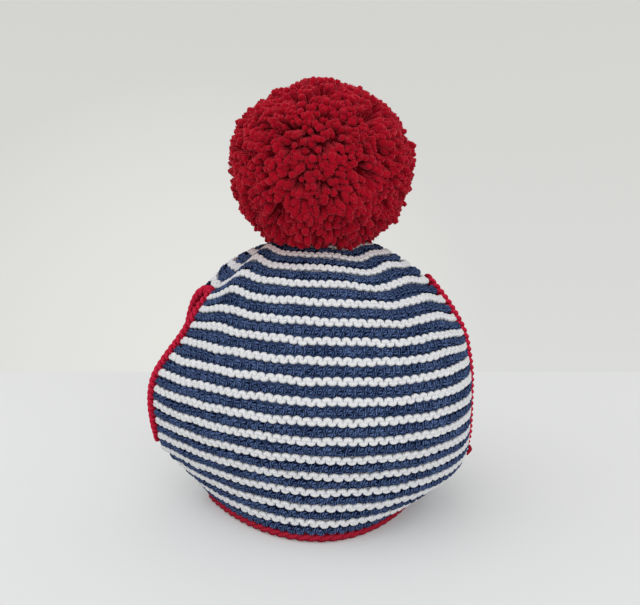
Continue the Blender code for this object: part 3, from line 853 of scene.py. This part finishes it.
# --------------------------------------------------------------------- edgings
def rope(name, path, strands, strand, wide, tall, lead, plane, thin=1.0):
    """A twisted edging of several strands along a closed path.

    wide and tall are the strands' reach across and along plane, a direction at
    each point of the path that is across it.  thin is the share of full size that
    the edging has, along the path.
    """
    count = len(path)
    ahead = unit(np.roll(path, -1, axis=0) - np.roll(path, 1, axis=0))
    side = unit(np.cross(ahead, plane))
    rise = np.cross(side, ahead)
    turns = max(1, round(loop_length(path) / lead))
    angle = 2.0 * math.pi * turns * np.arange(count) / count
    paths = []
    for k in range(strands):
        turn = angle + 2.0 * math.pi * k / strands
        across = (wide * thin * np.cos(turn))[:, None] * side
        paths.append(path + across + (tall * thin * np.sin(turn))[:, None] * rise)
    paths = np.array(paths)
    swell = 1.0 + STRAND_SWELL * np.cos(2.0 * angle)
    radius = np.broadcast_to(strand * swell * thin, paths.shape[:2])
    facing = np.broadcast_to(rise, paths.shape)
    return yarn_tubes(name, paths, radius, facing, STRAND_SIDES, closed=True)


def slit_path(slit):
    """Centre line of the edging round one slit, and a direction across it."""
    side = SLITS[slit][0]
    ups, wides = offset_lens(slit, EDGE_ROUND)
    across = across_at(np.maximum(wides, 0.0), ups, side)
    front = body_point(across, ups, False)
    back = body_point(across, ups, True)
    path = np.vstack([front, back[::-1][1:-1]])
    for count, passes in SLIT_LINE:
        path = soften(even_loop(path, count), passes)
    return path, np.broadcast_to((float(side), 0.0, 0.0), path.shape)


def loose_end(name, path):
    """Short end of yarn left hanging from the lower end of an edging."""
    foot = path[np.argmin(path[:, 2])]
    table = np.array(YARN_END)
    at = np.linspace(0.0, 1.0, YARN_END_STEPS)
    stops = np.linspace(0.0, 1.0, len(table))
    points = np.stack([np.interp(at, stops, table[:, k]) for k in range(3)], axis=1)
    points[1:-1] = (points[:-2] + 2.0 * points[1:-1] + points[2:]) / 4.0
    radius = np.interp(at, stops, table[:, 3])
    facing = np.broadcast_to((0.0, 1.0, 0.0), (1, len(points), 3))
    return yarn_tubes(name, (foot + points)[None], radius[None], facing, STRAND_SIDES)


def hem_path():
    """Centre line of the hem edging, and a direction across it."""
    across = np.linspace(-1.0, 1.0, HEM_STEPS)
    front = body_point(across, np.zeros_like(across), False)
    back = body_point(across, np.zeros_like(across), True)
    (rough, rough_passes), (fine, fine_passes) = HEM_LINE
    ring = soften(even_loop(np.vstack([front, back[::-1][1:-1]]), rough), rough_passes)
    ahead = np.roll(ring, -1, axis=0) - np.roll(ring, 1, axis=0)
    inward = unit(np.stack([-ahead[:, 1], ahead[:, 0], 0.0 * ahead[:, 0]], axis=1))
    ring = ring + HEM_INSET * inward
    ring[:, 2] = HEM_TALL / 2
    ring = soften(even_loop(ring, fine), fine_passes)
    return ring, np.broadcast_to((0.0, 0.0, 1.0), ring.shape)


# ---------------------------------------------------------------------- pompom
def pompom_point(direction, share):
    """Points of the pompom in these directions, these shares of the way out."""
    flat = np.hypot(direction[..., 0], direction[..., 1])
    z = direction[..., 2]
    full = np.where(z > 0, POM_HIGH_FULL, POM_LOW_FULL)
    tall = np.where(z > 0, POM_UP, POM_DOWN)
    size = ((flat / POM_R) ** full + (np.abs(z) / tall) ** full) ** (-1.0 / full)
    point = direction * (size * share)[..., None]
    point = point + (POM_X, POM_Y, POM_Z)
    point[..., 1] += POM_NOD * (point[..., 2] - POM_Z)
    lowest = crown_height(point[..., 0], point[..., 1]) + POM_REST
    point[..., 2] = np.maximum(point[..., 2], lowest)
    return point + (CENTRE_SHIFT, 0.0, 0.0)


def even_directions(count):
    """Directions spread evenly over a sphere."""
    k = np.arange(count) + 0.5
    z = 1.0 - 2.0 * k / count
    turn = math.pi * (1.0 + 5.0 ** 0.5) * k
    flat = np.sqrt(1.0 - z * z)
    return np.stack([flat * np.cos(turn), flat * np.sin(turn), z], axis=1)


def pompom_yarn(name, rng):
    """Cut ends of yarn standing out from the middle in tufts, of uneven length and lean."""
    ways = even_directions(POM_STRANDS)
    ways = ways[ways[:, 2] > POM_UNDERSIDE]
    count = len(ways)
    scatter = rng.normal(0.0, POM_TUFT_SCATTER, (POM_TUFTS, 3))
    tufts = unit(even_directions(POM_TUFTS) + scatter)
    mine = np.argmax(ways @ tufts.T, axis=1)
    pull = (tufts[mine] - ways) * POM_PULL
    lean = rng.normal(0.0, POM_TUFT_LEAN, (POM_TUFTS, 3))[mine]
    tips = ways + pull + lean + rng.normal(0.0, POM_LEAN, (count, 3))
    tips = unit(tips - (0.0, 0.0, POM_DROOP))
    scatter = rng.normal(0.0, POM_DENT_SCATTER, (POM_DENTS, 3))
    dents = unit(even_directions(POM_DENTS) + scatter)
    depth = rng.uniform(0.0, POM_DENT_DEEP, POM_DENTS)
    near_dent = np.exp(-((ways[:, None] - dents[None]) ** 2).sum(-1) / POM_DENT_WIDE ** 2)
    reach = POM_REACH - (near_dent * depth).max(axis=1) - rng.normal(0.0, POM_UNEVEN, count)
    reach += rng.normal(0.0, POM_TUFT_UNEVEN, POM_TUFTS)[mine]
    thick = POM_YARN_R * rng.uniform(*POM_THICKNESS, count)
    shares, widths = np.array(STRAND).T
    way = unit(ways[:, None] + (tips - ways)[:, None] * (shares ** 2)[:, None])
    share = POM_ROOT + (reach[:, None] - POM_ROOT) * shares
    paths = pompom_point(way, share)
    bow = unit(np.cross(ways, rng.normal(0.0, 1.0, (count, 3))))
    bend = rng.normal(0.0, POM_BEND, count)[:, None] * np.sin(shares * math.pi)
    paths = paths + bend[..., None] * bow[:, None]
    radius = thick[:, None] * widths
    facing = np.broadcast_to(bow[:, None], paths.shape)
    return yarn_tubes(name, paths, radius, facing, POM_SIDES)


def pompom_fibres(name, rng):
    """Fine fibres of the wool that stand off the pompom's cut ends."""
    ways = unit(rng.normal(0.0, 1.0, (FIBRES, 3)))
    ways = ways[ways[:, 2] > POM_UNDERSIDE]
    aims = unit(ways + rng.normal(0.0, FIBRE_LEAN, ways.shape))
    foot = pompom_point(ways, rng.uniform(*FIBRE_FOOT, len(ways)))
    far = rng.uniform(*FIBRE_LONG, len(ways))
    bend = rng.normal(0.0, FIBRE_BEND, ways.shape)
    shares, widths = np.array(FIBRE).T
    paths = foot[:, None] + (aims * far[:, None])[:, None] * shares[:, None]
    paths = paths + bend[:, None] * (shares * (1.0 - shares) * 4.0)[:, None]
    radius = np.broadcast_to(FIBRE_R * widths, paths.shape[:2])
    facing = np.broadcast_to(unit(np.cross(aims, ways + FIBRE_ASKEW))[:, None], paths.shape)
    return yarn_tubes(name, paths, radius, facing, FIBRE_SIDES)


def pompom_core(name):
    """Mass of yarn inside the pompom that closes the gaps between its ends, coloured dark as
    painted shade.
    """
    grid = (CORE_RINGS, CORE_AROUND)
    z = np.cos(np.linspace(CORE_POLE, math.pi - CORE_POLE, CORE_RINGS))
    turn = np.linspace(0.0, 2.0 * math.pi, CORE_AROUND, endpoint=False)
    flat = np.sqrt(1.0 - z * z)
    ways = np.stack([flat[:, None] * np.cos(turn), flat[:, None] * np.sin(turn),
                     np.broadcast_to(z[:, None], grid)], axis=-1)
    points = pompom_point(ways, np.full(grid, POM_CORE))
    index = np.arange(CORE_RINGS * CORE_AROUND).reshape(grid)
    beside = np.roll(index, -1, axis=1)
    quads = np.stack([index[:-1], index[1:], beside[1:], beside[:-1]], -1).reshape(-1, 4)
    ends = np.stack([index[0], index[-1, ::-1]])
    uv = np.zeros((quads.size + ends.size, 2))
    return make_object(name, points.reshape(-1, 3), quads, ends, uv)


# ------------------------------------------------------------------------ build
def build_cosy():
    """Every piece of the cosy, and what each one rides on and replaces."""
    rng = np.random.default_rng(SEED)
    yarns = {name: yarn_material(name) for name in YARN_LOOKS}
    panels = {}
    for panel, back in (("front", False), ("back", True)):
        for colour in YARN:
            obj = knit_loops(f"{panel}_{colour}_loops", colour, back, rng)
            obj.data.materials.append(yarns[colour])
            panels[panel, colour] = obj
        panels[panel, "cloth"] = cloth_panel(f"{panel}_cloth", back)
    edging = {}
    for slit in SLITS:
        path, plane = slit_path(slit)
        above = np.clip((path[:, 2] - path[:, 2].min()) / EDGE_END, 0.0, 1.0)
        thin = EDGE_END_THIN + (1.0 - EDGE_END_THIN) * above
        obj = rope(f"{slit}_edging_yarn", path, EDGE_STRANDS, EDGE_STRAND, EDGE_TURN,
                   EDGE_TURN, EDGE_LEAD, plane, thin)
        obj.data.materials.append(yarns["crochet"])
        edging[slit] = obj
    tail = loose_end("handle_yarn_end", path)
    tail.data.materials.append(yarns["crochet"])
    path, plane = hem_path()
    hem = rope("hem_edging_yarn", path, HEM_STRANDS, HEM_STRAND, HEM_TURN_WIDE,
               HEM_TURN_TALL, HEM_LEAD, plane)
    # the crochet yarn made darker: painted shade on the hem
    hem.data.materials.append(yarns["hem"])
    # dark core: painted shade inside the pompom
    core = pompom_core("pompom_core")
    core.data.materials.append(yarns["core"])
    ends = pompom_yarn("pompom_ends", rng)
    ends.data.materials.append(yarns["pompom"])
    fibres = pompom_fibres("pompom_fibres", rng)
    fibres.data.materials.append(yarns["fuzz"])

    for panel in ("front", "back"):
        for part in ("cloth", "navy", "white"):
            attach(panels[panel, part], "root")
        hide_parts(f"panel_{panel}")
    for slit, obj in edging.items():
        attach(obj, "root")
        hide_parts(f"edging_{slit}")
    for obj in (hem, tail):
        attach(obj, "root")
    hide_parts("edging_hem")
    for obj in (core, ends, fibres):
        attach(obj, "root")
    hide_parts("pompom")


def build_floor():
    """A pale table top that reaches past the edges of the picture."""
    points = np.array([(-TABLE_HALF, -TABLE_HALF, 0.0), (TABLE_HALF, -TABLE_HALF, 0.0),
                       (TABLE_HALF, TABLE_BACK, 0.0), (-TABLE_HALF, TABLE_BACK, 0.0)])
    floor = make_object("table_top", points, np.array([[0, 1, 2, 3]]), (), None, smooth=False)
    mat, tree, shader = new_material("table_top", TABLE_ROUGHNESS, TABLE_SPECULAR)
    shader.inputs["Emission Color"].default_value = (*TABLE_GLOW, 1.0)
    shader.inputs["Emission Strength"].default_value = TABLE_GLOW_POWER
    coords = node(tree, "ShaderNodeTexCoord")
    cloudy = noise(tree, coords.outputs["Object"], TABLE_CLOUDS)
    tint = blend_colour(tree, cloudy, TABLE_DARK, TABLE_LIGHT)
    tree.links.new(tint, shader.inputs["Base Color"])
    floor.data.materials.append(mat)


def build_room():
    """The world behind and around the cosy: a far wall, a room and its ceiling."""
    world = bpy.data.worlds.new("studio")
    bpy.context.scene.world = world
    world.use_nodes = True
    tree = world.node_tree
    backdrop = tree.nodes["Background"]
    coords = node(tree, "ShaderNodeTexCoord")
    split = node(tree, "ShaderNodeSeparateXYZ")
    tree.links.new(coords.outputs["Generated"], split.inputs[0])
    towards = node(tree, "ShaderNodeVectorMath", operation="DOT_PRODUCT")
    tree.links.new(coords.outputs["Generated"], towards.inputs[0])
    towards.inputs[1].default_value = PATCH_TOWARDS
    wall = blend_colour(tree, ramp(tree, split.outputs[2], *WALL_RISE), WALL_LOW, WALL_HIGH)
    near = ramp(tree, towards.outputs["Value"], *PATCH_NEAR)
    wall = blend_colour(tree, near, wall, PATCH)
    room = blend_colour(tree, ramp(tree, split.outputs[2], *CEILING_RISE), ROOM, CEILING)
    tint = blend_colour(tree, ramp(tree, split.outputs[1], *ROOM_FROM), wall, room)
    tree.links.new(tint, backdrop.inputs[0])


def build_lamps():
    for name, at, aim, size, power in LAMPS:
        lamp = bpy.data.lights.new(name, "AREA")
        lamp.energy = power
        lamp.size = size
        lamp.color = LAMP_COLOUR
        obj = bpy.data.objects.new(name, lamp)
        obj.location = at
        x, y, z = np.array(aim) - np.array(at)
        obj.rotation_euler = (math.atan2(math.hypot(x, y), -z), 0.0, math.atan2(-x, y))
        bpy.context.scene.collection.objects.link(obj)


def build_camera():
    """The picture's camera."""
    lens = bpy.data.cameras.new("camera")
    lens.lens = LENS
    lens.sensor_width = SENSOR
    lens.sensor_fit = "HORIZONTAL"
    lens.clip_start, lens.clip_end = CLIP
    camera = bpy.data.objects.new("camera", lens)
    camera.location = [c * MM for c in CAMERA_AT]
    camera.rotation_euler = (math.radians(90.0 + CAMERA_PITCH), 0.0, 0.0)
    bpy.context.scene.collection.objects.link(camera)
    bpy.context.scene.camera = camera


bpy.context.scene.view_settings.view_transform = "Standard"
build_camera()
build_cosy()
build_floor()
build_room()
build_lamps()
